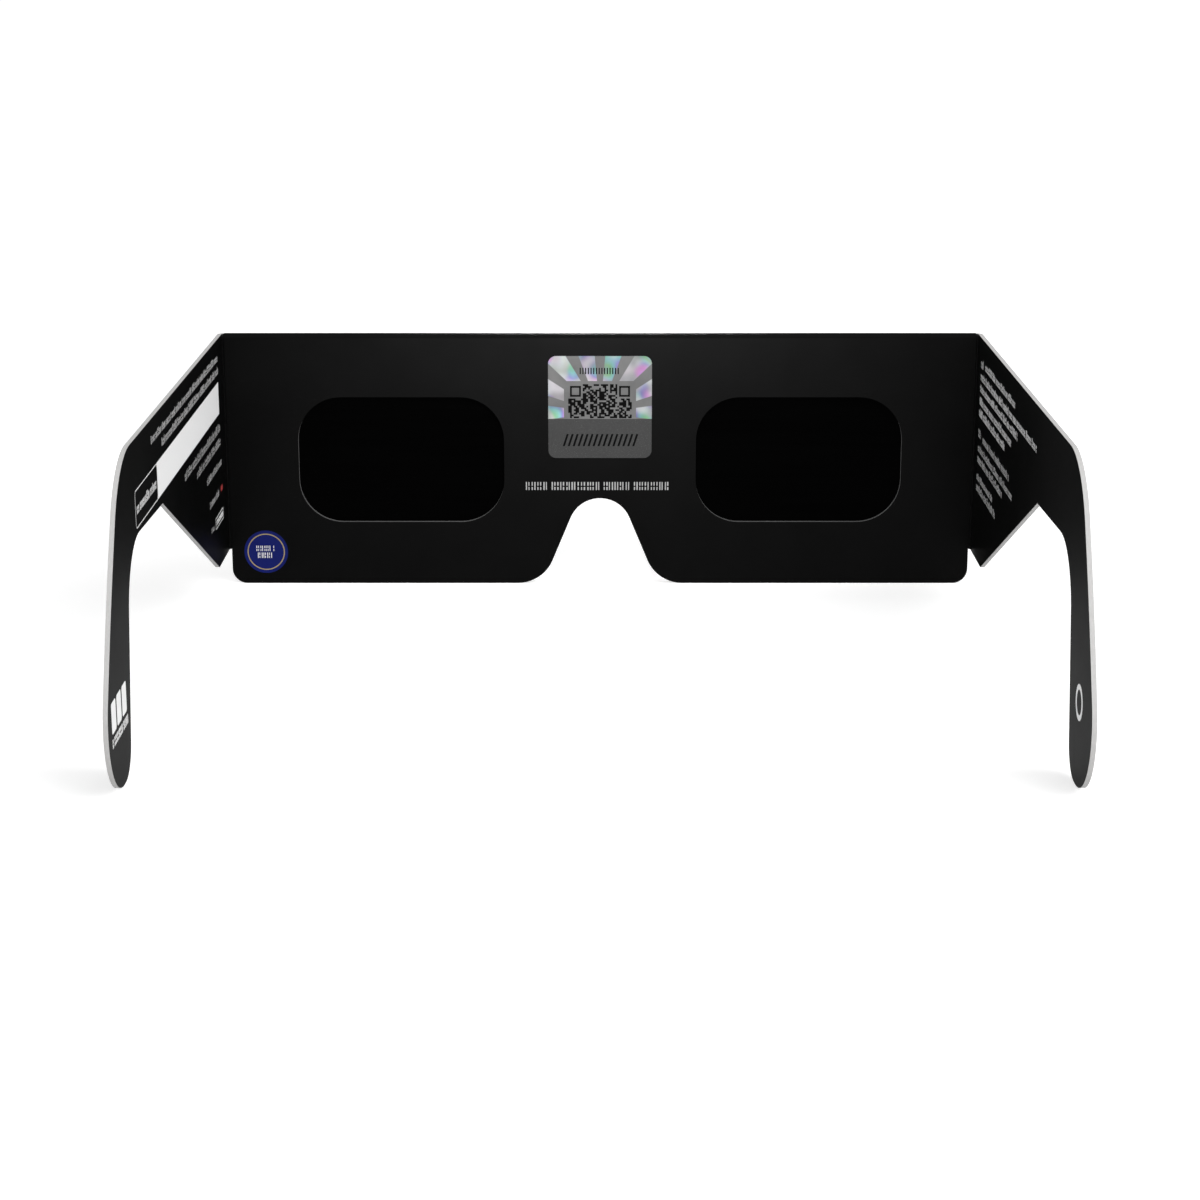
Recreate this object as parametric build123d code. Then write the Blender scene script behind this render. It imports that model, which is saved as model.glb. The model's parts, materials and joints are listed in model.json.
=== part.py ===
from build123d import *
from math import cos, radians, sin, tan
import os

os.makedirs("parts", exist_ok=True)

# Eclipse glasses, die-cut from one printed card: an outer panel that carries both arms, and an
# inner panel folded down behind it over the top edge, with the two filter films glued between.
# Sizes are in mm. +X is to the wearer's right, +Y towards the sun and +Z up. The origin lies
# on the table, under the middle of the glasses standing with both arms folded back square.

# Card and layers
card = 0.75  # thickness of the board
film = 0.15  # thickness of the filter film, and of the glue line round it

# Front panel
fold_to_fold = 141.0  # between the inner faces of the two arms
panel_height = 48.0  # table to the crown of the top fold
panel_corner = 2.8  # rounding of the bottom corners
side_clearance = 0.05  # inner panel's ends, inside the lines that the arms turn about
slit_height = 6.5  # the arms are cut free of the panel below this height

# Eye openings
eye_bridge = 36.1  # between the two openings
eye_margin = 13.75  # from an opening's outer side to the arm's inner face
eye_height = 24.0
eye_corner = 8.2

# Nose notch
nose_height = 16.6  # top of the arch
nose_arch = 6.0  # radius of the arch
nose_lean = 22.5  # degrees, the sides' lean from upright
nose_flare = 7.2  # radius where the sides run out into the bottom edge

# Filter films and glue
film_overlap = 4.0  # film hidden behind the card, all round an opening
film_corner = 1.0
glue_setback = 1.0  # glue stops this far inside the inner panel's edges

# Arms: lengths are measured back from the inner panel's face
arm_reach = 126.0  # to the back of the hook
arm_top_step = 0.15  # the arms' top edge, below the crown of the top fold
flap_foot = 13.0  # level bottom edge of the flap
temple_length = 31.8  # the strip's lower edge, from the flap's slope to the hook
temple_depth = 15.35  # the strip's depth at the flap
temple_depth_at_hook = 14.25
shoulder_round = 16.5  # top edge turning down into the hook
knee_drop = 20.15  # where the hook's back edge steepens, below the arms' top edge
knee_round_share = 0.62  # of the straight beside the knee that its rounding takes up
hook_lean = 24.5  # degrees from upright, the hook's back edge below the knee
knee_turn = 4.8  # degrees, how much more it leans above the knee
hook_tip_round = 11.0
hook_foot = 1.0  # level edge that the hook stands on, between its two roundings
hook_toe_round = 5.3
hook_inner_lean = 10.45  # degrees from upright
hook_bend_round = 11.5  # the strip's lower edge turning down into the hook
die_round = 0.6  # small corners of the cutting die

# Security label on the bridge
label_size = 19.4
label_corner = 1.5
label_thickness = 0.1
label_drop = 4.2  # upper edge, below the crown of the top fold
scratch_height = 7.5  # scratch-off panel, up from the label's lower edge
scratch_thickness = 0.05

overrun = 5.0  # how far cutting shapes run past what they cut

# Layer planes, from the wearer's side to the sun's side
inner_face = (arm_reach - 2 * card - film) / 2
inner_back = inner_face + card
outer_back = inner_back + film
outer_face = outer_back + card

# Each arm turns about the middle of what it folds round, the inner panel and a film, so that it
# lies on the inner panel when folded in and carries on from the outer panel when laid out flat
crease_radius = (card + film) / 2
half_fold = fold_to_fold / 2
pivot_half_width = half_fold - crease_radius
pivot_depth = inner_face + crease_radius
inner_half_width = pivot_half_width - side_clearance
arm_top = panel_height - arm_top_step
fold_outside = card + film / 2  # outside radius of the top fold
fold_line = panel_height - fold_outside  # the panels are flat up to this height
eye_width = (fold_to_fold - eye_bridge) / 2 - eye_margin
eye_spacing = eye_bridge + eye_width  # centre to centre
eye_level = panel_height / 2
label_foot = panel_height - label_drop - label_size


def layer(outline, near, far):
    """A flat layer with an outline drawn in X and Z, between two depths along Y."""
    return extrude(Plane.XZ.offset(-near) * outline, amount=near - far)


def rounded(points, radii):
    """A face through the points, each corner rounded by the radius of the same rank."""
    face = make_face(Polyline(*points, close=True))
    for point, radius in zip(points, radii):
        if radius:
            corner = face.vertices().sort_by_distance((*point, 0))[0]
            face = fillet(corner, radius)
    return face


def mirrored(shape):
    """The same shape on the wearer's other side."""
    return mirror(shape, about=Plane.YZ)


def nose_notch():
    """The wedge cut out for the nose: leaning sides that meet in a round arch."""
    lean = radians(nose_lean)
    apex = nose_height - nose_arch + nose_arch / sin(lean)
    foot = (apex + overrun) * tan(lean)
    return rounded([(-foot, -overrun), (foot, -overrun), (0, apex)], [0, 0, nose_arch])


def with_nose_notch(panel):
    """The panel's face with the nose notch, its bottom corners and its flares rounded."""
    panel = (panel - nose_notch()).face()
    bottom = panel.vertices().group_by(Axis.Y)[0].sort_by(Axis.X)
    left, flare_left, flare_right, right = bottom
    panel = fillet([left, right], panel_corner)
    flares = [panel.vertices().sort_by_distance(v)[0] for v in (flare_left, flare_right)]
    return fillet(flares, nose_flare)


def inner_outline():
    """Inner panel: a plain strip, up to the top fold."""
    strip = Pos(0, fold_line / 2) * Rectangle(2 * inner_half_width, fold_line)
    return with_nose_notch(strip)


def outer_outline():
    """Outer panel: as wide as the inner one below the slits, and out to the creases above."""
    strip = Pos(0, fold_line / 2) * Rectangle(2 * inner_half_width, fold_line)
    creased_height = fold_line - slit_height
    creased = Pos(0, slit_height + creased_height / 2) * Rectangle(
        2 * pivot_half_width, creased_height
    )
    return with_nose_notch(strip + creased)


def at_each_eye(shape):
    """The shape at the centre of each eye opening."""
    return [Pos(side * eye_spacing / 2, eye_level) * shape for side in (-1, 1)]


def with_eye_openings(panel):
    """The panel's face with both eye openings cut out."""
    for opening in at_each_eye(RectangleRounded(eye_width, eye_height, eye_corner)):
        panel -= opening
    return panel


def film_outlines():
    """Left and right filter film, larger than the openings all round."""
    width = eye_width + 2 * film_overlap
    height = eye_height + 2 * film_overlap
    return at_each_eye(RectangleRounded(width, height, film_corner))


def glue_outline():
    """The glue line between the panels, round the films."""
    glue = offset(inner_outline(), -glue_setback)
    for outline in film_outlines():
        glue -= outline
    return glue


def top_fold():
    """The half-round fold that joins the panels along their top edge."""
    ring = Circle(fold_outside) - Circle(film / 2)
    upper = Pos(0, fold_outside / 2) * Rectangle(2 * fold_outside, fold_outside)
    section = Pos((inner_face + outer_face) / 2, fold_line) * (ring & upper)
    return extrude(Plane.YZ.offset(-inner_half_width) * section, amount=2 * inner_half_width)


def setback(radius, turn):
    """How far a rounding starts from its corner, where the edge turns by this angle."""
    return radius * tan(turn / 2)


def knee_rounding(above, below, turn):
    """Radius that takes up a share of the shorter straight beside the knee."""
    return knee_round_share * min(above, below) / tan(turn / 2)


def arm_outline():
    """Arm, drawn as length behind the inner panel's face and height above the table."""
    high_lean = radians(hook_lean + knee_turn)
    low_lean = radians(hook_lean)
    inner_lean = radians(hook_inner_lean)
    quarter_turn = radians(90)

    # The hook's back edge touches the tip's circle, which touches the table and the reach
    tip_centre = arm_reach - hook_tip_round
    tip_length = tip_centre + hook_tip_round * cos(low_lean)
    tip_height = hook_tip_round + hook_tip_round * sin(low_lean)
    heel = tip_length + tip_height * tan(low_lean)
    knee_height = arm_top - knee_drop
    knee = heel - knee_height * tan(low_lean)
    shoulder = knee - knee_drop * tan(high_lean)
    above_knee = knee_drop / cos(high_lean) - setback(shoulder_round, quarter_turn - high_lean)
    below_knee = knee_height / cos(low_lean) - setback(hook_tip_round, quarter_turn + low_lean)
    knee_round = knee_rounding(above_knee, below_knee, high_lean - low_lean)

    # The inner edge rises from the level foot to the temple strip
    toe = tip_centre - hook_foot - setback(hook_toe_round, quarter_turn - inner_lean)
    bend_height = arm_top - temple_depth_at_hook
    bend = toe - bend_height * tan(inner_lean)
    corners = [
        ((-crease_radius, arm_top), 0),
        ((shoulder, arm_top), shoulder_round),
        ((knee, knee_height), knee_round),
        ((heel, 0), hook_tip_round),
        ((toe, 0), hook_toe_round),
        ((bend, bend_height), hook_bend_round),
        ((bend - temple_length, arm_top - temple_depth), die_round),
        ((flap_foot, slit_height), die_round),
        ((-crease_radius, slit_height), 0),
    ]
    return rounded([point for point, _ in corners], [radius for _, radius in corners])


def left_arm():
    """The single-ply arm: flap, temple strip and ear hook, square to the panel."""
    inner_side = Plane(origin=(-half_fold, inner_face, 0), x_dir=(0, -1, 0), z_dir=(-1, 0, 0))
    return extrude(inner_side * arm_outline(), amount=card)


def left_crease():
    """The quarter bend from the outer panel to the arm, centred on the line the arm turns about."""
    outside_radius = crease_radius + card
    ring = Circle(outside_radius) - Circle(crease_radius)
    quarter = Pos(-outside_radius / 2, outside_radius / 2) * Rectangle(outside_radius, outside_radius)
    section = Pos(-pivot_half_width, pivot_depth, slit_height) * (ring & quarter)
    return extrude(section, amount=arm_top - slit_height)


def label_outline():
    """The square sticker on the bridge."""
    square = RectangleRounded(label_size, label_size, label_corner)
    return Pos(0, label_foot + label_size / 2) * square


def scratch_outline():
    """The lower part of the sticker, which the scratch-off panel covers."""
    band = Rectangle(label_size, scratch_height)
    return label_outline() & Pos(0, label_foot + scratch_height / 2) * band


label_face = inner_face - label_thickness
left_film, right_film = film_outlines()

nodes = {
    "outer_panel": layer(with_eye_openings(outer_outline()), outer_back, outer_face),
    "inner_panel": layer(with_eye_openings(inner_outline()), inner_face, inner_back),
    "top_fold": top_fold(),
    "left_arm": left_arm(),
    "right_arm": mirrored(left_arm()),
    "left_crease": left_crease(),
    "right_crease": mirrored(left_crease()),
    "left_filter": layer(left_film, inner_back, outer_back),
    "right_filter": layer(right_film, inner_back, outer_back),
    "glue_line": layer(glue_outline(), inner_back, outer_back),
    "security_label": layer(label_outline(), label_face, inner_face),
    "scratch_panel": layer(scratch_outline(), label_face - scratch_thickness, label_face),
}

for name, shape in nodes.items():
    export_step(shape, f"parts/{name}.step")
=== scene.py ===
"""Folded card eclipse glasses, standing with both arms back, seen from the wearer's side."""
import json
import math
import random

import bmesh
import bpy
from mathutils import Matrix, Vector


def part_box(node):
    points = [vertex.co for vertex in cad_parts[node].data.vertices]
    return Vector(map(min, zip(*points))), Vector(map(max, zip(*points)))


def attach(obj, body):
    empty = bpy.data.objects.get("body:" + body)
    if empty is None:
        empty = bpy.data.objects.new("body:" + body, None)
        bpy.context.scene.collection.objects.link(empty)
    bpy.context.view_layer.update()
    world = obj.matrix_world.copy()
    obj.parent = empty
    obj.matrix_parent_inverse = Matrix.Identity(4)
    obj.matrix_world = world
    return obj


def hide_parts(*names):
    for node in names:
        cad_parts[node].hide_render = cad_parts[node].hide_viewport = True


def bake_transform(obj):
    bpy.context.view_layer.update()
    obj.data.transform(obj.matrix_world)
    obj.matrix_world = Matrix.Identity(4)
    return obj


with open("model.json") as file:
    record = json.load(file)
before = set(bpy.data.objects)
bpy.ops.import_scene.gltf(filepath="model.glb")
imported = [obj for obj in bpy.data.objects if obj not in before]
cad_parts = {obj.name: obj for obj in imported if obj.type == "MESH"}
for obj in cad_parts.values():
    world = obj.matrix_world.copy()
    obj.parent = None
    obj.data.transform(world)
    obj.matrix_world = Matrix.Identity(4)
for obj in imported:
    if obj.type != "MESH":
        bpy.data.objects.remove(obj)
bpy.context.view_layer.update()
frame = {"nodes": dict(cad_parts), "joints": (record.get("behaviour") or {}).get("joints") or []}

MM = 0.001
SIDES = {"left": -1, "right": 1}

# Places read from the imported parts, in metres
INNER_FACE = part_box("inner_panel")[0].y  # the front's face towards the wearer
FILM_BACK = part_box("outer_panel")[0].y  # the films' face towards the sun
ARM_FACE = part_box("right_arm")[0].x  # the arms' inner faces, left and right of the middle
PANEL_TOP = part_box("top_fold")[1].z
FILM_LOW, FILM_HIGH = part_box("right_filter")
LABEL_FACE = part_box("security_label")[0].y
SCRATCH_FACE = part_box("scratch_panel")[0].y
SCRATCH_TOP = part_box("scratch_panel")[1].z
PIVOTS = {joint["child"].split("_")[0]: Vector(joint["pos_m"]) for joint in frame["joints"]}

# Camera, from the photo's vanishing lines
CAMERA_BACK = 482.6 * MM  # behind the front's inner face
CAMERA_RISE = 81.56 * MM  # above the front's upper edge
CAMERA_PITCH = 15.4  # degrees below the horizon
CAMERA_LENS = 78.53  # mm, on the sensor below
CAMERA_SENSOR = 36.0  # mm
CAMERA_CLIP = (0.01, 100)  # metres

# Specular levels
CARD_SHEEN = 0.028  # varnished print, coloured ink and the scratch coat
ARM_SHEEN = 0.014  # varnished print on the arms
MATT_SHEEN = 0.0025  # the top fold, and black ink
FILM_SHEEN = 0.006
GLUE_SHEEN = 0.5
FOIL_SHEEN = 0.05

# Roughness
FRONT_VARNISH = 0.33
ARM_VARNISH = 0.47
ARM_VARNISH_AT_FRONT = 0.3
FOLDED_VARNISH = 0.8
CREASED_VARNISH = 0.5
VARNISH_SPREAD = 0.05  # how much rougher the varnish is in patches
INK_ROUGHNESS = 0.5
BARE_BOARD = 0.92
FILM_ROUGHNESS = (0.16, 0.26)
GLUE_ROUGHNESS = 0.55
FOIL_ROUGHNESS = (0.42, 0.5)
SCRATCH_ROUGHNESS = 0.6
SMOOTHER_REACH = (118 * MM, 35 * MM)  # the arms' varnish grows smoother from here to here

# Grey levels in linear light, the darkest and the palest of a surface
FLAT_PRINT = (0.0006, 0.0011)
FOLD_PAINTED_SHEEN_PRINT = (0.003, 0.005)  # painted sheen: the top fold's print is paler, standing in for the front's reflected sheen
CREASED_PRINT = (0.0025, 0.02)  # the second is where the ink has cracked
# painted light: the print inside each bend is paler, to lift the shade in its groove
INSIDE_CREASE_PAINTED_LIGHT = (0.012, 0.02)
PULP = (0.47, 0.60)
# painted shade: the pulp on the cut edges round the lens openings, darkened for the shade inside
# their recess
PAINTED_SHADE_PULP = (0.06, 0.10)
CREASED_PULP = 0.55
PULP_WARMTH = 0.01
BLACK_FILM = (0.0002, 0.0007)
FOIL_FIELD = (0.12, 0.24)
SCRATCH_COAT = (0.042, 0.053)
SCRATCH_SPECKLE = 0.16

# Foil's rays: the ranges of their colours, and how these change from place to place
RAY_HUES = (0.34, 0.84)
RAY_SATURATIONS = (0.06, 0.54)
RAY_VALUES = (0.03, 0.97)
RAY_VIVID = (0.42, 0.66)  # noise levels between which a patch grows vivid
RAY_EDGE = (0.19, 0.22)  # where a ray's edge fades in, as shares of the rays' pitch
RAY_COUNT = 14
HUE_BAND = 6 * MM  # distance along a ray over which the hue runs through its range
HUE_DRIFT = 4.0  # ranges that noise adds

# Noise levels between which cracks, patches of cracks and specks begin and are full
CRACK_EDGE = (0.62, 0.74)
CRACK_PATCH = (0.45, 0.7)
SPECKLE_EDGE = (0.6, 0.75)

FIBRE_RELIEF = 0.05  # strength of the relief on the card's faces
LAYER_RELIEF = 0.3  # the same, on its cut edges
FACING = 0.7  # a face looks along an axis when its normal's part along it is larger

# Ink: how far it stands off what it is printed on, and how far its lower face is sunk in it
INK_PROUD = 0.012 * MM
INK_SUNK = 0.012 * MM

# Blind strokes, which spell nothing; shares are of a line's height
STROKE_PITCH_SHARE = 0.31
SMALL_SHARE = 0.74  # height of most groups of strokes
LETTER_GAP_SHARE = 0.07
WORD_GAP_SHARE = 0.42
TALL_CHANCE = 0.3
SPLIT_CHANCE = 0.5
SPLIT_STROKE = ((0, 0.38), (0.54, 1))  # foot and head of each part, of the stroke's height
WHOLE_STROKE = ((0, 1),)
STROKES_IN_LETTER = (1, 2, 2, 3)
LETTERS_IN_WORD = (3, 9)
STROKE_SPREAD = (0.8, 1.2)  # of a stroke's width
GAP_SPREAD = (0.75, 1.25)  # of the gap after it
FAINT, FINE, REGULAR, HEAVY = 0.13, 0.22, 0.46, 0.62  # share of the pitch that ink covers
SEEDS = {"left_arm": 11, "right_arm": 23, "front": 3, "emblem": 8, "cells": 29}

# Print on the arms, in mm: each line's start and end behind the front, its foot and its head
LEFT_LINES = (
    (6.3, 79.9, 43.95, 45.25),
    (6.0, 69.9, 41.55, 42.95),
)
LEFT_LOW_LINES = (
    (6.1, 48.3, 30.85, 32.45),
    (6.3, 35.2, 28.25, 29.75),
    (5.8, 24.0, 24.45, 25.75),
    (10.5, 22.1, 19.55, 20.85),
    (17.8, 21.2, 14.85, 15.85),
)
RIGHT_LINES = (
    (4.5, 7.5, 42.45, 44.05),
    (9.9, 45.3, 42.75, 44.15),
    (4.6, 68.5, 40.15, 41.65),
    (4.4, 49.1, 37.95, 39.35),
    (4.3, 42.5, 35.55, 37.05),
    (4.2, 35.7, 33.35, 34.85),
)
RIGHT_FINE_LINES = (
    (4.4, 7.2, 29.45, 30.95),
    (9.9, 41.5, 29.25, 30.75),
    (4.6, 45.9, 26.75, 28.15),
    (4.3, 35.0, 24.65, 26.15),
    (4.2, 23.9, 21.35, 22.65),
    (4.3, 27.8, 19.25, 20.75),
)
FIELD = (6.3, 75.8, 34.15, 40.05)  # white field to write on
FRAMED_END = 96.0  # a thin frame goes on from the field to here
FRAMED_LINE = (76.8, 95.1, 36.25, 37.85)
FRAME_LINE = 0.15
FRAME_CORNERS = (0.8, 0.45)  # outer and inner radius
BADGE = (5.8, 15.7, 14.25, 16.35)
BADGE_CORNERS = (0.3, 0.15)
BADGE_MARGIN = 4 * FRAME_LINE  # from the badge's outline to its row
RED_MARK = (5.6, 7.9, 19.7, 20.7)
RED_MARK_CORNER = 0.3
HOOK_BARS = (110.5, 123.3, 10.15, 14.85)
HOOK_BAR_COUNT = 3
HOOK_BAR_MARGIN = 0.4  # half the gap between two bars
HOOK_BAR_CORNER = 0.5
HOOK_ROW = (110.3, 123.3, 8.05, 9.45)
HOOK_RING = (115.3, 12.75)
HOOK_RING_RADIUS = 2.75
HOOK_RING_LINE = 0.85

# Print and emblem on the front, in mm: across from the middle, and up from the table
FRONT_LINE = (-14.0, 13.1, 18.2, 19.75)
DISC_CENTRE = (-63.5, 6.15)
DISC_RADIUS = 4.15
DISC_RING_RADIUS = 3.55
DISC_RING_LINE = 0.2
DISC_ROWS = ((1.85, 0.15), (1.6, -1.2))  # half its width, and its foot above the disc's centre
DISC_ROW_HEIGHT = 1.05

# Rows on the label and on its scratch coat, in mm as above
TICK_ROW = (-3.8, 3.8, 40.4, 41.6)
TICK_SHARE = 0.42  # of the pitch that a tick covers
SLANTED_ROW = (-7.0, 7.0, 26.7, 29.0)
SLANTED_SHARE = 0.4
SLANT_SHARE = 0.8  # of the pitch that a stroke leans over
ROW_STROKES = 15

# Block of cells on the label, and the rays' middle, in metres
CELL = 0.34 * MM
CELL_COLUMNS = 35
CELL_FRAME = 6  # cells along a small frame
CELL_FILL = 0.62  # chance that a run of cells is filled
CELL_RUNS = (1, 2, 2, 3, 4)
BLOCK_TOP = 38.5 * MM
BLOCK_HALF_WIDTH = CELL * CELL_COLUMNS / 2
CLEAR_BESIDE = 0.8 * MM  # between the block and the rays
CLEAR_ABOVE = 0.6 * MM
RAY_CENTRE = 33.1 * MM

# Roundings, as straight steps
CORNER_STEPS = 5
HOOK_RING_STEPS = 48
DISC_STEPS = 64
CREASE_STEPS = 24
SHARP_RIM = 40  # degrees; a sharper edge isn't shaded smooth

# Creases: a fine rib on the inside of the bend, and a groove on its outside
CREASE_RIB = 0.07 * MM
CREASE_GROOVE = 0.04 * MM
CREASE_FOCUS = 4  # the higher, the narrower both are

# Films: two waves, of which each runs through one radian over the lengths given
FILM_GRID = (60, 40)
FILM_HELD = 4.5 * MM  # flat as far in as this
FILM_EASE = 5 * MM  # the ripple grows over this width
FILM_RIPPLE = 0.10 * MM
FILM_WAVE = (11 * MM, 2.6 * MM)  # across and up
FILM_SLOW_WAVE = 7 * MM  # across
FILM_SLOW_SHARE = 0.6

# Light and floor; lengths are in metres
MIDDLE = (0, 0, 0.02)  # where the soft lamps point
WORLD_LIGHT = 0.42
FLOOR_HALF_WIDTH = 20
FLOOR_DROP = 0.02 * MM  # below the glasses
FLOOR_GREY = 0.8
FLOOR_REACH = (0.06, 0.7)  # the floor's glow grows between these distances
FLOOR_GLOW = (0.52, 0.70)


def scaled(values):
    """Lengths in mm, as metres."""
    return [value * MM for value in values]


def grey(level, warmth=0.0):
    """A colour near grey, in linear light; warmth moves it towards yellow."""
    return (level * (1 + warmth), level, level * (1 - warmth), 1)


class Graph:
    """A material's node tree, with short calls for the nodes that the materials share."""

    def __init__(self, name):
        self.material = bpy.data.materials.new(name)
        self.material.use_nodes = True
        self.tree = self.material.node_tree
        self.shader = self.tree.nodes["Principled BSDF"]
        self.coordinates = self.node("ShaderNodeTexCoord")

    def node(self, kind, **settings):
        """A new node with these settings."""
        made = self.tree.nodes.new(kind)
        for name, value in settings.items():
            setattr(made, name, value)
        return made

    def feed(self, socket, value):
        """Links a socket to another one, or sets it to a plain value."""
        if isinstance(value, bpy.types.NodeSocket):
            self.tree.links.new(value, socket)
        else:
            socket.default_value = value

    def math(self, operation, first, second=0.0):
        """A sum or a comparison of two numbers."""
        made = self.node("ShaderNodeMath", operation=operation)
        self.feed(made.inputs[0], first)
        self.feed(made.inputs[1], second)
        return made.outputs[0]

    def mapped(self, low, high, value, smooth=False):
        """0 at low, 1 at high and held beyond."""
        made = self.node("ShaderNodeMapRange")
        made.interpolation_type = "SMOOTHSTEP" if smooth else "LINEAR"
        self.feed(made.inputs["Value"], value)
        made.inputs["From Min"].default_value = low
        made.inputs["From Max"].default_value = high
        return made.outputs["Result"]

    def mix(self, share, first, second):
        """A colour between two colours."""
        made = self.node("ShaderNodeMix", data_type="RGBA")
        self.feed(made.inputs["Factor"], share)
        self.feed(made.inputs[6], first)
        self.feed(made.inputs[7], second)
        return made.outputs[2]

    def greys(self, share, levels, warmth=0.0):
        """A grey between two levels."""
        return self.mix(share, *[grey(level, warmth) for level in levels])

    def blend(self, share, first, second):
        """A number between two numbers."""
        made = self.node("ShaderNodeMix", data_type="FLOAT")
        self.feed(made.inputs["Factor"], share)
        self.feed(made.inputs[2], first)
        self.feed(made.inputs[3], second)
        return made.outputs[0]

    def place(self, stretch=(1, 1, 1), shift=(0, 0, 0)):
        """Object coordinates, moved and then stretched."""
        moved = self.node("ShaderNodeVectorMath", operation="ADD")
        self.feed(moved.inputs[0], self.coordinates.outputs["Object"])
        self.feed(moved.inputs[1], shift)
        stretched = self.node("ShaderNodeVectorMath", operation="MULTIPLY")
        self.feed(stretched.inputs[0], moved.outputs[0])
        self.feed(stretched.inputs[1], stretch)
        return stretched.outputs[0]

    def noise(self, grain, detail=2.0, stretch=(1, 1, 1)):
        """Noise whose grain has about this size, in metres."""
        made = self.node("ShaderNodeTexNoise")
        self.feed(made.inputs["Vector"], self.place(stretch))
        made.inputs["Scale"].default_value = 1 / grain
        made.inputs["Detail"].default_value = detail
        return made.outputs["Fac"]

    def axes(self, vector):
        """A vector's three parts."""
        made = self.node("ShaderNodeSeparateXYZ")
        self.feed(made.inputs[0], vector)
        return made.outputs

    def length(self, vector):
        """A vector's length."""
        made = self.node("ShaderNodeVectorMath", operation="LENGTH")
        self.feed(made.inputs[0], vector)
        return made.outputs["Value"]

    def looks_along(self, axis):
        """1 on faces that look along an axis, either way."""
        normal = self.axes(self.coordinates.outputs["Normal"])["XYZ".index(axis)]
        return self.math("GREATER_THAN", self.math("ABSOLUTE", normal), FACING)

    def near_film(self):
        """1 within the reach of a filter film, where the card's cut edges get painted shade."""
        across, _, up = self.axes(self.coordinates.outputs["Object"])
        across = self.math("ABSOLUTE", across)
        inside = self.math("GREATER_THAN", across, FILM_LOW.x)
        for test, value, limit in (
            ("LESS_THAN", across, FILM_HIGH.x),
            ("GREATER_THAN", up, FILM_LOW.z),
            ("LESS_THAN", up, FILM_HIGH.z),
        ):
            inside = self.math("MULTIPLY", inside, self.math(test, value, limit))
        return inside

    def paint(self, colour, roughness, sheen):
        """Sets the surface's colour, its roughness and its specular level."""
        self.feed(self.shader.inputs["Base Color"], colour)
        self.feed(self.shader.inputs["Roughness"], roughness)
        self.shader.inputs["Specular IOR Level"].default_value = sheen

    def bump(self, height, strength, depth):
        """Fine relief, as deep as this in metres."""
        made = self.node("ShaderNodeBump")
        self.feed(made.inputs["Strength"], strength)
        made.inputs["Distance"].default_value = depth
        self.feed(made.inputs["Height"], height)
        self.feed(self.shader.inputs["Normal"], made.outputs[0])


def card_material(
    name, axis, printed_along, roughness, at_front=None, sheen=CARD_SHEEN, levels=FLAT_PRINT
):
    """Black print on the faces, and the board's bare pulp on the die-cut edges.

    Faces that look along the axis are the printed ones where printed_along is true, and the cut
    ones otherwise. The roughness of an arm's varnish changes to at_front near the front.
    """
    graph = Graph(name)
    along = graph.looks_along(axis)
    cut = graph.math("SUBTRACT", 1.0, along) if printed_along else along
    cloud = graph.noise(grain=9 * MM, detail=3)
    fibre = graph.noise(grain=0.22 * MM, detail=3, stretch=(1, 1, 2.2))
    layers = graph.noise(grain=0.16 * MM, detail=2, stretch=(1, 0.25, 0.25))
    pulp = graph.greys(layers, PULP, PULP_WARMTH)
    # painted shade: the cut edges round the lens openings are darker, for the shade inside their
    # recess
    board = graph.mix(graph.near_film(), pulp, graph.greys(layers, PAINTED_SHADE_PULP))
    if at_front is not None:
        depth = graph.axes(graph.coordinates.outputs["Object"])[1]
        far, near = [INNER_FACE - reach for reach in SMOOTHER_REACH]
        roughness = graph.blend(graph.mapped(far, near, depth, smooth=True), roughness, at_front)
    varnish = graph.math("ADD", roughness, graph.math("MULTIPLY", cloud, VARNISH_SPREAD))
    graph.paint(
        colour=graph.mix(cut, graph.greys(cloud, levels), board),
        roughness=graph.blend(cut, varnish, BARE_BOARD),
        sheen=sheen,
    )
    graph.bump(
        height=graph.blend(cut, fibre, layers),
        strength=graph.blend(cut, FIBRE_RELIEF, LAYER_RELIEF),
        depth=0.03 * MM,
    )
    return graph.material


def crease_material(name, levels):
    """The print where the board bends, with its ink cracked in fine upright lines."""
    graph = Graph(name)
    cut = graph.looks_along("Z")
    threads = graph.noise(grain=0.12 * MM, detail=3, stretch=(1, 1, 0.12))
    patches = graph.noise(grain=3 * MM, detail=2, stretch=(1, 1, 0.5))
    cracks = graph.math(
        "MULTIPLY",
        graph.mapped(*CRACK_EDGE, threads),
        graph.mapped(*CRACK_PATCH, patches),
    )
    graph.paint(
        colour=graph.mix(cut, graph.greys(cracks, levels), grey(CREASED_PULP, PULP_WARMTH)),
        roughness=graph.blend(cut, CREASED_VARNISH, BARE_BOARD),
        sheen=CARD_SHEEN,
    )
    graph.bump(height=threads, strength=0.25, depth=0.03 * MM)
    return graph.material


def ink_material(name, light, dark, sheen=CARD_SHEEN):
    """Offset ink: slightly uneven cover, with the board's fibres showing through."""
    graph = Graph(name)
    cover = graph.noise(grain=0.3 * MM, detail=4)
    fibre = graph.noise(grain=0.2 * MM, detail=3)
    graph.paint(colour=graph.mix(cover, dark, light), roughness=INK_ROUGHNESS, sheen=sheen)
    graph.bump(height=fibre, strength=0.04, depth=0.02 * MM)
    return graph.material


def film_material():
    """Black polymer film: glossy, with faint streaks from its rolling."""
    graph = Graph("filter_film")
    streaks = graph.noise(grain=1.6 * MM, detail=3, stretch=(0.06, 1, 1))
    graph.paint(
        colour=graph.greys(streaks, BLACK_FILM),
        roughness=graph.blend(streaks, *FILM_ROUGHNESS),
        sheen=FILM_SHEEN,
    )
    graph.bump(height=streaks, strength=0.02, depth=0.05 * MM)
    return graph.material


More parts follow.
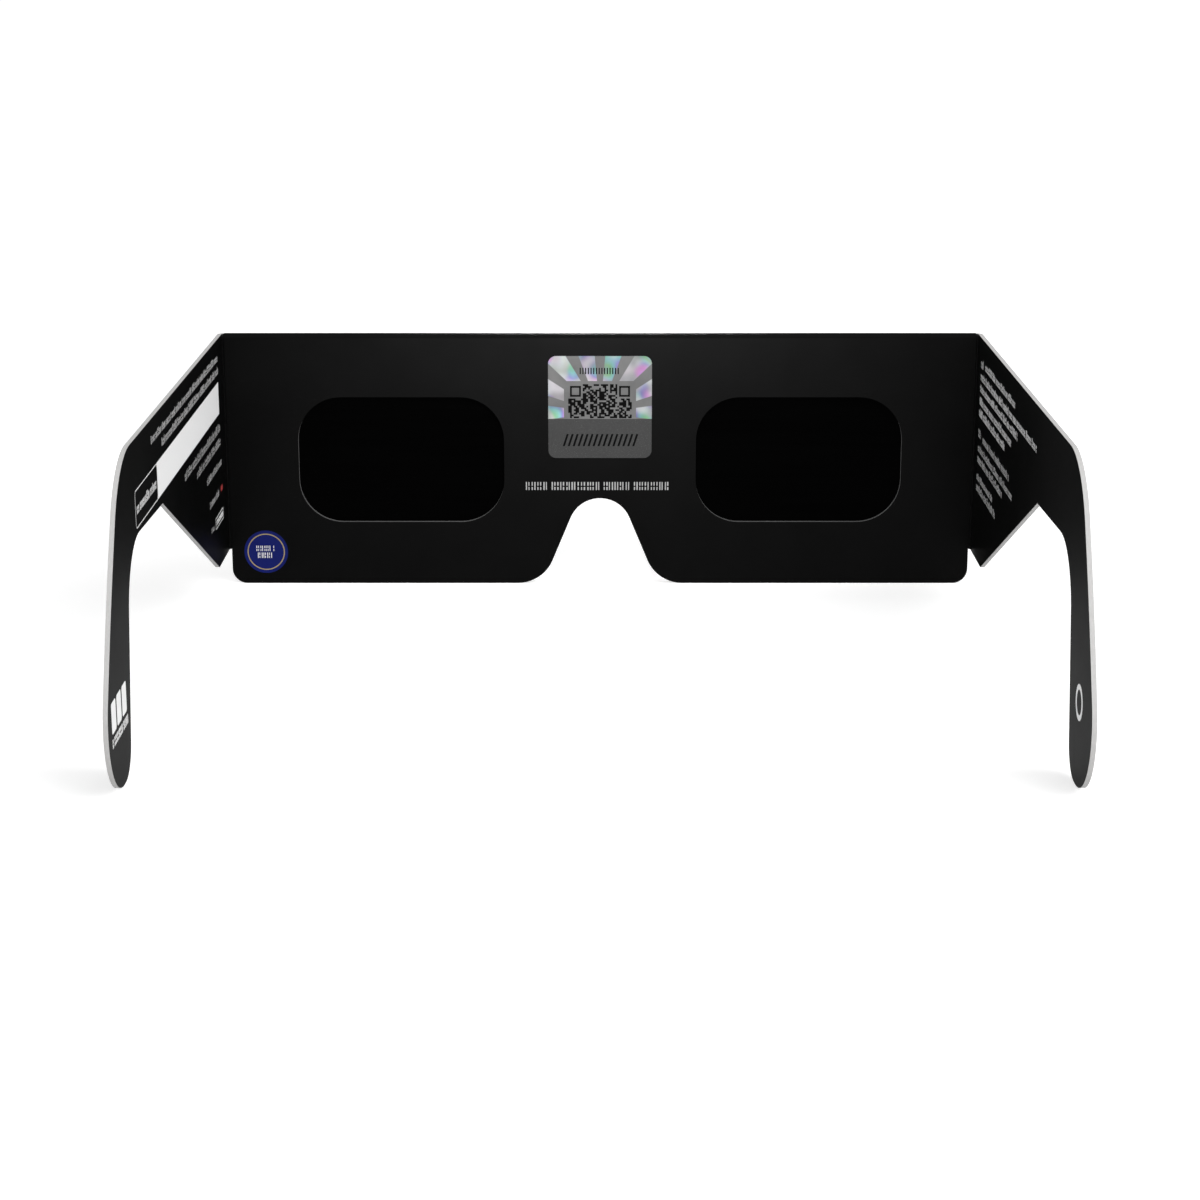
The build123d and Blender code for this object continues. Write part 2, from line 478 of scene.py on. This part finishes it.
def glue_material():
    """Dried white glue, seen only at the slits and through the edges."""
    graph = Graph("dried_glue")
    beads = graph.noise(grain=0.5 * MM, detail=3)
    graph.paint(
        colour=graph.mix(beads, grey(0.58, warmth=0.04), grey(0.72, warmth=0.06)),
        roughness=GLUE_ROUGHNESS,
        sheen=GLUE_SHEEN,
    )
    graph.bump(height=beads, strength=0.3, depth=0.05 * MM)
    return graph.material


def ray_cover(graph):
    """1 on the foil's rays, which fan out from behind the block of cells."""
    across, _, up = graph.axes(graph.place(shift=(0, 0, -RAY_CENTRE)))
    turns = graph.math("MULTIPLY", graph.math("ARCTAN2", up, across), RAY_COUNT / math.tau)
    wave = graph.math("PINGPONG", graph.math("ADD", turns, 0.5), 0.5)
    outside = graph.math(
        "MAXIMUM",
        graph.math("GREATER_THAN", graph.math("ABSOLUTE", across), BLOCK_HALF_WIDTH + CLEAR_BESIDE),
        graph.math("GREATER_THAN", up, BLOCK_TOP + CLEAR_ABOVE - RAY_CENTRE),
    )
    return graph.math("MULTIPLY", graph.mapped(*RAY_EDGE, wave), outside)


def ray_colour(graph):
    """Pastel colours that change along the rays and from patch to patch."""
    reach = graph.length(graph.place(shift=(0, -LABEL_FACE, -RAY_CENTRE)))
    drift = graph.math("MULTIPLY", graph.noise(grain=5.5 * MM, detail=1), HUE_DRIFT)
    bands = graph.math("ADD", graph.math("MULTIPLY", reach, 1 / HUE_BAND), drift)
    hue = graph.math("PINGPONG", bands, 1.0)
    vivid = graph.mapped(*RAY_VIVID, graph.noise(grain=3.4 * MM, detail=0), smooth=True)
    bright = graph.noise(grain=3.8 * MM, detail=1)
    rainbow = graph.node("ShaderNodeCombineColor", mode="HSV")
    graph.feed(rainbow.inputs[0], graph.blend(hue, *RAY_HUES))
    graph.feed(rainbow.inputs[1], graph.blend(vivid, *RAY_SATURATIONS))
    graph.feed(rainbow.inputs[2], graph.blend(bright, *RAY_VALUES))
    return rainbow.outputs[0]


def foil_material():
    """Diffraction foil: grey, with rays of pastel colours."""
    graph = Graph("label_foil")
    field = graph.greys(graph.noise(grain=5 * MM, detail=3), FOIL_FIELD)
    brushed = graph.noise(grain=0.25 * MM, detail=3)
    graph.paint(
        colour=graph.mix(ray_cover(graph), field, ray_colour(graph)),
        roughness=graph.blend(brushed, *FOIL_ROUGHNESS),
        sheen=FOIL_SHEEN,
    )
    graph.bump(height=brushed, strength=0.04, depth=0.02 * MM)
    return graph.material


def scratch_material():
    """Latex scratch coat: matt grey with a fine metallic speckle."""
    graph = Graph("scratch_coat")
    speckle = graph.noise(grain=0.14 * MM, detail=3)
    coat = graph.greys(graph.noise(grain=4 * MM, detail=2), SCRATCH_COAT)
    graph.paint(
        colour=graph.mix(graph.mapped(*SPECKLE_EDGE, speckle), coat, grey(SCRATCH_SPECKLE)),
        roughness=SCRATCH_ROUGHNESS,
        sheen=CARD_SHEEN,
    )
    graph.bump(height=speckle, strength=0.12, depth=0.02 * MM)
    return graph.material


def finish_mesh(name, mesh, material):
    """An object from a bmesh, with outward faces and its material."""
    bmesh.ops.recalc_face_normals(mesh, faces=mesh.faces)
    data = bpy.data.meshes.new(name)
    mesh.to_mesh(data)
    mesh.free()
    data.materials.append(material)
    made = bpy.data.objects.new(name, data)
    bpy.context.scene.collection.objects.link(made)
    return made


def round_off(made):
    """Smooth shading, with the rims kept sharp."""
    for polygon in made.data.polygons:
        polygon.use_smooth = True
    made.data.set_sharp_from_angle(angle=math.radians(SHARP_RIM))


def on_front(across, up, height):
    """A point over the front's inner face."""
    return Vector((across, INNER_FACE - height, up))


def on_disc(across, up, height):
    """A point over the emblem's blue ink."""
    return on_front(across, up, height + INK_PROUD)


def on_label(across, up, height):
    """A point over the label's foil."""
    return Vector((across, LABEL_FACE - height, up))


def on_scratch(across, up, height):
    """A point over the label's scratch coat."""
    return Vector((across, SCRATCH_FACE - height, up))


def on_arm(side):
    """Gives the function that finds a point over an arm's inner face."""

    def place(length, up, height):
        across = SIDES[side] * (ARM_FACE - height)
        return Vector((across, INNER_FACE - length, up))

    return place


def add_wall(mesh, ring, following):
    """Faces from one closed ring to the next, which has as many vertices."""
    return [
        mesh.faces.new((ring[i - 1], ring[i], following[i], following[i - 1]))
        for i in range(len(ring))
    ]


def add_prism(mesh, outline, place):
    """Ink over an outline of flat points, as a thin closed prism."""
    upper = [mesh.verts.new(place(u, v, INK_PROUD)) for u, v in outline]
    lower = [mesh.verts.new(place(u, v, -INK_SUNK)) for u, v in outline]
    mesh.faces.new(upper)
    mesh.faces.new(lower[::-1])
    add_wall(mesh, upper, lower)


def add_band(mesh, outer, inner, place):
    """Ink between two outlines that have as many points, as a thin closed frame."""
    edges = ((outer, INK_PROUD), (inner, INK_PROUD), (inner, -INK_SUNK), (outer, -INK_SUNK))
    rings = [[mesh.verts.new(place(u, v, height)) for u, v in outline] for outline, height in edges]
    for ring, following in zip(rings, rings[1:] + rings[:1]):
        add_wall(mesh, ring, following)


def bar(left, right, low, high, lean=0.0):
    """A bar's outline; lean moves its upper end sideways."""
    return [(left, low), (right, low), (right + lean, high), (left + lean, high)]


def rounded_box(left, right, low, high, radius):
    """The outline of a box with rounded corners."""
    points = []
    corners = ((right, high, 0), (left, high, 1), (left, low, 2), (right, low, 3))
    for u, v, quarter in corners:
        centre_u = u - radius if u == right else u + radius
        centre_v = v - radius if v == high else v + radius
        for i in range(CORNER_STEPS + 1):
            angle = math.radians(90 * (quarter + i / CORNER_STEPS))
            points.append((centre_u + radius * math.cos(angle), centre_v + radius * math.sin(angle)))
    return points


def circle(centre, radius, steps):
    """The outline of a circle."""
    turns = [math.tau * i / steps for i in range(steps)]
    return [(centre[0] + radius * math.cos(a), centre[1] + radius * math.sin(a)) for a in turns]


def inset(box, margin):
    """A box of start, end, foot and head, made smaller by a margin all round."""
    start, end, low, high = box
    return (start + margin, end - margin, low + margin, high - margin)


def add_frame(mesh, box, line, radii, place):
    """A thin frame just inside a box, by its outer and its inner corner radius."""
    outer_radius, inner_radius = radii
    outer = rounded_box(*box, outer_radius)
    inner = rounded_box(*inset(box, line), inner_radius)
    add_band(mesh, outer, inner, place)


def add_blind_text(mesh, line, place, dice, weight, capitals=False):
    """A line of short upright strokes in the rhythm of words, which spells nothing."""
    start, end, low, high = line
    tall = high - low
    pitch = STROKE_PITCH_SHARE * tall
    stroke = weight * pitch
    at = start
    letters_left = dice.randint(*LETTERS_IN_WORD)
    while at + stroke < end:
        rise = tall * (1.0 if capitals or dice.random() < TALL_CHANCE else SMALL_SHARE)
        for _ in range(dice.choice(STROKES_IN_LETTER)):
            width = stroke * dice.uniform(*STROKE_SPREAD)
            if at + width > end:
                break
            parts = SPLIT_STROKE if dice.random() < SPLIT_CHANCE else WHOLE_STROKE
            for foot, head in parts:
                add_prism(mesh, bar(at, at + width, low + rise * foot, low + rise * head), place)
            at += width + (pitch - stroke) * dice.uniform(*GAP_SPREAD)
        letters_left -= 1
        at += tall * (LETTER_GAP_SHARE if letters_left else WORD_GAP_SHARE)
        if not letters_left:
            letters_left = dice.randint(*LETTERS_IN_WORD)


def add_even_row(mesh, row, width_share, lean_share, place):
    """A row of evenly spaced strokes; both shares are of their pitch."""
    start, end, low, high = row
    pitch = (end - start) / ROW_STROKES
    for i in range(ROW_STROKES):
        left = start + pitch * i
        outline = bar(left, left + pitch * width_share, low, high, pitch * lean_share)
        add_prism(mesh, outline, place)


def add_hook_bars(mesh, place):
    """Plain bars side by side on the left hook."""
    start, end, low, high = scaled(HOOK_BARS)
    margin, corner = scaled((HOOK_BAR_MARGIN, HOOK_BAR_CORNER))
    pitch = (end - start) / HOOK_BAR_COUNT
    for i in range(HOOK_BAR_COUNT):
        left = start + pitch * i
        outline = rounded_box(left + margin, left + pitch - margin, low, high, corner)
        add_prism(mesh, outline, place)


def left_arm_print(white, red):
    """Lines, the field to write on with its frame, the badge and the hook's bars."""
    dice = random.Random(SEEDS["left_arm"])
    place = on_arm("left")
    frame_line = FRAME_LINE * MM
    mesh = bmesh.new()
    for line in LEFT_LINES:
        add_blind_text(mesh, scaled(line), place, dice, FINE)
    for line in LEFT_LOW_LINES:
        add_blind_text(mesh, scaled(line), place, dice, FAINT)
    add_blind_text(mesh, scaled(FRAMED_LINE), place, dice, REGULAR)

    start, end, low, high = scaled(FIELD)
    add_prism(mesh, bar(start, end, low, high), place)
    framed = (end - frame_line, FRAMED_END * MM, low, high)
    add_frame(mesh, framed, frame_line, scaled(FRAME_CORNERS), place)

    badge = scaled(BADGE)
    add_frame(mesh, badge, frame_line, scaled(BADGE_CORNERS), place)
    badge_row = inset(badge, BADGE_MARGIN * MM)
    add_blind_text(mesh, badge_row, place, dice, HEAVY, capitals=True)

    add_hook_bars(mesh, place)
    add_blind_text(mesh, scaled(HOOK_ROW), place, dice, HEAVY, capitals=True)
    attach(finish_mesh("left_arm_print", mesh, white), "left_temple")

    mesh = bmesh.new()
    add_prism(mesh, rounded_box(*scaled(RED_MARK), RED_MARK_CORNER * MM), place)
    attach(finish_mesh("left_arm_red_mark", mesh, red), "left_temple")


def right_arm_print(white):
    """Lines, and a plain ring on the hook."""
    dice = random.Random(SEEDS["right_arm"])
    place = on_arm("right")
    mesh = bmesh.new()
    for line in RIGHT_LINES:
        add_blind_text(mesh, scaled(line), place, dice, REGULAR)
    for line in RIGHT_FINE_LINES:
        add_blind_text(mesh, scaled(line), place, dice, FINE)
    centre = scaled(HOOK_RING)
    outer = circle(centre, HOOK_RING_RADIUS * MM, HOOK_RING_STEPS)
    inner = circle(centre, (HOOK_RING_RADIUS - HOOK_RING_LINE) * MM, HOOK_RING_STEPS)
    add_band(mesh, outer, inner, place)
    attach(finish_mesh("right_arm_print", mesh, white), "right_temple")


def front_print(pale):
    """The line under the label."""
    mesh = bmesh.new()
    dice = random.Random(SEEDS["front"])
    add_blind_text(mesh, scaled(FRONT_LINE), on_front, dice, REGULAR, capitals=True)
    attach(finish_mesh("front_line", mesh, pale), "front")


def disc_emblem(blue, gold, white):
    """A blue disc with a thin gold ring and two short rows."""
    centre = scaled(DISC_CENTRE)
    mesh = bmesh.new()
    add_prism(mesh, circle(centre, DISC_RADIUS * MM, DISC_STEPS), on_front)
    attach(finish_mesh("emblem_disc", mesh, blue), "front")

    mesh = bmesh.new()
    outer = circle(centre, DISC_RING_RADIUS * MM, DISC_STEPS)
    inner = circle(centre, (DISC_RING_RADIUS - DISC_RING_LINE) * MM, DISC_STEPS)
    add_band(mesh, outer, inner, on_disc)
    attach(finish_mesh("emblem_ring", mesh, gold), "front")

    mesh = bmesh.new()
    dice = random.Random(SEEDS["emblem"])
    across, up = DISC_CENTRE
    for half_width, foot in DISC_ROWS:
        low = up + foot
        row = (across - half_width, across + half_width, low, low + DISC_ROW_HEIGHT)
        add_blind_text(mesh, scaled(row), on_disc, dice, REGULAR, capitals=True)
    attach(finish_mesh("emblem_rows", mesh, white), "front")


def cell_block(black):
    """A block of random cells on the label, with two small frames in its upper corners."""
    mesh = bmesh.new()
    dice = random.Random(SEEDS["cells"])
    rows = int((BLOCK_TOP - SCRATCH_TOP) / CELL)
    frame_starts = (1, CELL_COLUMNS - 1 - CELL_FRAME)
    for row in range(rows):
        high = BLOCK_TOP - row * CELL
        starts = frame_starts if row < CELL_FRAME + 2 else ()
        column = 0
        while column < CELL_COLUMNS:
            clear = any(start - 1 <= column <= start + CELL_FRAME for start in starts)
            filled = dice.random() < CELL_FILL and not clear
            run = dice.choice(CELL_RUNS) if filled else 0
            ends = [start - 1 for start in starts if column < start - 1] + [CELL_COLUMNS]
            run = min(run, min(ends) - column)
            if run:
                left = column * CELL - BLOCK_HALF_WIDTH
                add_prism(mesh, bar(left, left + run * CELL, high - CELL, high), on_label)
            column += run + 1
    for start in frame_starts:
        left = start * CELL - BLOCK_HALF_WIDTH
        high = BLOCK_TOP - CELL
        box = (left, left + CELL_FRAME * CELL, high - CELL_FRAME * CELL, high)
        add_band(mesh, bar(*box), bar(*inset(box, CELL)), on_label)
    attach(finish_mesh("label_code", mesh, black), "front")


def label_rows(black):
    """Fine ticks above the cells, and slanted strokes on the scratch coat."""
    mesh = bmesh.new()
    add_even_row(mesh, scaled(TICK_ROW), TICK_SHARE, 0, on_label)
    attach(finish_mesh("label_ticks", mesh, black), "front")

    mesh = bmesh.new()
    add_even_row(mesh, scaled(SLANTED_ROW), SLANTED_SHARE, SLANT_SHARE, on_scratch)
    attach(finish_mesh("scratch_strokes", mesh, black), "front")


def crease_section(outside, inside):
    """The bend's section, as angles and radii: its outside, and back along its inside."""
    shares = [i / CREASE_STEPS for i in range(CREASE_STEPS + 1)]
    section = []
    for order, radius, relief in ((1, outside, CREASE_GROOVE), (-1, inside, CREASE_RIB)):
        for share in shares[::order]:
            swell = math.sin(math.pi * share) ** CREASE_FOCUS
            section.append((math.radians(90 * share), radius - relief * swell))
    return section


def crease(side, outer_material, inner_material):
    """The bend between the front and an arm, round the line that the arm turns about."""
    low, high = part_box(f"{side}_crease")
    pivot = PIVOTS[side]
    outside = high.y - pivot.y
    inside = FILM_BACK - pivot.y
    section = crease_section(outside, inside)
    mesh = bmesh.new()
    rings = []
    for level in (low.z, high.z):
        ring = []
        for angle, radius in section:
            across = pivot.x + SIDES[side] * radius * math.sin(angle)
            ring.append(mesh.verts.new((across, pivot.y + radius * math.cos(angle), level)))
        rings.append(ring)
    walls = add_wall(mesh, *rings)  # two ends and the outside come first, then the inside
    for wall in walls[CREASE_STEPS + 2:]:
        wall.material_index = 1
    for ring in rings:
        opposite = ring[::-1]
        for i in range(CREASE_STEPS):
            mesh.faces.new((ring[i], ring[i + 1], opposite[i + 1], opposite[i]))
    made = finish_mesh(f"{side}_crease_bend", mesh, outer_material)
    made.data.materials.append(inner_material)
    round_off(made)
    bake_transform(made)
    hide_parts(f"{side}_crease")


def rim(sheet):
    """The vertices round a grid of rows, in order."""
    right = [row[-1] for row in sheet]
    left = [row[0] for row in sheet]
    return sheet[0][:-1] + right[:-1] + sheet[-1][:0:-1] + left[:0:-1]


def film(side, material):
    """The filter film, flat where it is held and slightly rippled across the opening."""
    low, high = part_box(f"{side}_filter")
    columns, rows = FILM_GRID
    wave_across, wave_up = FILM_WAVE

    def lift(across, up):
        """How far the film leaves its plane here."""
        edge = min(across - low.x, high.x - across, up - low.z, high.z - up)
        share = min(max((edge - FILM_HELD) / FILM_EASE, 0), 1)
        slack = share * share * (3 - 2 * share)
        wave = math.sin(up / wave_up + across / wave_across)
        slow_wave = FILM_SLOW_SHARE * math.sin(across / FILM_SLOW_WAVE)
        return FILM_RIPPLE * slack * (wave + slow_wave)

    mesh = bmesh.new()
    places = [low.x + (high.x - low.x) * i / columns for i in range(columns + 1)]
    levels = [low.z + (high.z - low.z) * i / rows for i in range(rows + 1)]
    sheets = [
        [[mesh.verts.new((x, face + lift(x, z), z)) for x in places] for z in levels]
        for face in (low.y, high.y)
    ]
    for sheet in sheets:
        for lower, upper in zip(sheet, sheet[1:]):
            for i in range(columns):
                mesh.faces.new((lower[i], lower[i + 1], upper[i + 1], upper[i]))
    add_wall(mesh, *[rim(sheet) for sheet in sheets])
    made = finish_mesh(f"{side}_filter_film", mesh, material)
    round_off(made)
    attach(made, "front")
    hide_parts(f"{side}_filter")


def dress_nodes():
    """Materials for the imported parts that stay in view."""
    front_card = card_material("front_card", "Y", True, FRONT_VARNISH)
    # the top fold's paler print is painted sheen
    folded_card = card_material(
        "folded_card", "X", False, FOLDED_VARNISH, sheen=MATT_SHEEN, levels=FOLD_PAINTED_SHEEN_PRINT
    )
    arm_card = card_material(
        "arm_card", "X", True, ARM_VARNISH, at_front=ARM_VARNISH_AT_FRONT, sheen=ARM_SHEEN
    )
    finishes = {
        "outer_panel": front_card,
        "inner_panel": front_card,
        "top_fold": folded_card,
        "left_arm": arm_card,
        "right_arm": arm_card,
        "glue_line": glue_material(),
        "security_label": foil_material(),
        "scratch_panel": scratch_material(),
    }
    for name, material in finishes.items():
        for slot in frame["nodes"][name].material_slots:
            slot.material = material


def add_bends_and_films():
    """The creases and the films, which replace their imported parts."""
    creased = crease_material("creased_card", CREASED_PRINT)
    # the paler print inside each bend is painted light against the groove's shade
    inside_crease_painted_light = crease_material("inside_crease_painted_light", INSIDE_CREASE_PAINTED_LIGHT)
    black_film = film_material()
    for side in SIDES:
        crease(side, creased, inside_crease_painted_light)
        film(side, black_film)


def add_print():
    """Everything printed on the card and on the label."""
    white = ink_material("white_ink", light=grey(0.92), dark=grey(0.84))
    pale = ink_material("pale_ink", light=grey(0.56), dark=grey(0.46))
    black = ink_material("black_ink", light=grey(0.006), dark=grey(0.003), sheen=MATT_SHEEN)
    blue = ink_material("blue_ink", light=(0.006, 0.013, 0.15, 1), dark=(0.004, 0.009, 0.11, 1))
    gold = ink_material("gold_ink", light=(0.46, 0.36, 0.18, 1), dark=(0.36, 0.28, 0.14, 1))
    red = ink_material("red_ink", light=(0.42, 0.05, 0.05, 1), dark=(0.30, 0.03, 0.03, 1))
    left_arm_print(white, red)
    right_arm_print(white)
    front_print(pale)
    disc_emblem(blue, gold, white)
    cell_block(black)
    label_rows(black)


def place_camera():
    """The photo's view: from the wearer's side, above the middle and looking down."""
    data = bpy.data.cameras.new("photo_camera")
    data.lens = CAMERA_LENS
    data.sensor_width = CAMERA_SENSOR
    data.clip_start, data.clip_end = CAMERA_CLIP
    camera = bpy.data.objects.new("photo_camera", data)
    camera.location = (0, INNER_FACE - CAMERA_BACK, PANEL_TOP + CAMERA_RISE)
    camera.rotation_euler = (math.radians(90 - CAMERA_PITCH), 0, 0)
    bpy.context.scene.collection.objects.link(camera)
    bpy.context.scene.camera = camera


def softbox(name, location, target, size, power, glossy_only=False, spread=180):
    """A rectangular lamp; its beam spreads by so many degrees."""
    data = bpy.data.lights.new(name, "AREA")
    data.shape = "RECTANGLE"
    data.size, data.size_y = size
    data.energy = power
    data.spread = math.radians(spread)
    lamp = bpy.data.objects.new(name, data)
    lamp.location = location
    aim = Vector(target) - Vector(location)
    lamp.rotation_euler = aim.to_track_quat("-Z", "Y").to_euler()
    lamp.visible_camera = False
    lamp.visible_diffuse = not glossy_only
    bpy.context.scene.collection.objects.link(lamp)


def place_lamps():
    """Soft light from the wearer's side, and two lamps that only give the front its sheen."""
    softbox("front_fill", location=(0, -1.2, 0.5), target=MIDDLE, size=(0.8, 0.5), power=3.0)
    softbox("key", location=(0.42, -0.25, 0.42), target=MIDDLE, size=(0.7, 0.7), power=3.5)
    softbox("side_fill", location=(-0.42, -0.25, 0.42), target=MIDDLE, size=(0.7, 0.7), power=0.7)
    softbox(
        "sheen",
        location=(0, 0, 0.105),
        target=(0, 0.062, 0.045),
        size=(0.035, 0.03),
        power=4.8,
        glossy_only=True,
    )
    softbox(
        "back_sheen",
        location=(0, 0.126, 0.105),
        target=(0, 0.064, 0.045),
        size=(0.035, 0.03),
        power=0.9,
        glossy_only=True,
        spread=36,
    )


def seen_white(tree):
    """1 for rays that show the background: camera, glossy and transmission rays."""
    path = tree.nodes.new("ShaderNodeLightPath")
    total = path.outputs["Is Camera Ray"]
    for name in ("Is Glossy Ray", "Is Transmission Ray"):
        either = tree.nodes.new("ShaderNodeMath")
        either.operation = "MAXIMUM"
        tree.links.new(total, either.inputs[0])
        tree.links.new(path.outputs[name], either.inputs[1])
        total = either.outputs[0]
    return total


def light_world():
    """An even white world: full strength where it is seen, and softer where it only lights."""
    world = bpy.data.worlds.new("white_studio")
    bpy.context.scene.world = world
    world.use_nodes = True
    tree = world.node_tree
    strength = tree.nodes.new("ShaderNodeMix")
    strength.data_type = "FLOAT"
    strength.inputs[2].default_value = WORLD_LIGHT
    strength.inputs[3].default_value = 1.0
    tree.links.new(seen_white(tree), strength.inputs["Factor"])
    background = tree.nodes["Background"]
    background.inputs["Color"].default_value = grey(1)
    tree.links.new(strength.outputs[0], background.inputs["Strength"])


def floor_material():
    """White where it is seen, by a glow that grows away from the glasses."""
    graph = Graph("floor_white")
    geometry = graph.node("ShaderNodeNewGeometry")
    reach = graph.length(geometry.outputs["Position"])
    glow = graph.blend(graph.mapped(*FLOOR_REACH, reach, smooth=True), *FLOOR_GLOW)
    graph.paint(colour=grey(FLOOR_GREY), roughness=1.0, sheen=0.0)
    graph.feed(graph.shader.inputs["Emission Color"], grey(1))
    lit = graph.math("MULTIPLY", seen_white(graph.tree), glow)
    graph.feed(graph.shader.inputs["Emission Strength"], lit)
    return graph.material


def lay_floor():
    """A white floor that keeps a faint shadow of the glasses."""
    mesh = bmesh.new()
    bmesh.ops.create_grid(mesh, x_segments=4, y_segments=4, size=FLOOR_HALF_WIDTH)
    data = bpy.data.meshes.new("floor")
    mesh.to_mesh(data)
    mesh.free()
    data.materials.append(floor_material())
    floor = bpy.data.objects.new("floor", data)
    floor.location.z = -FLOOR_DROP
    bpy.context.scene.collection.objects.link(floor)


place_camera()
light_world()
lay_floor()
place_lamps()
dress_nodes()
add_bends_and_films()
add_print()

scene = bpy.context.scene
scene.view_settings.view_transform = "Standard"
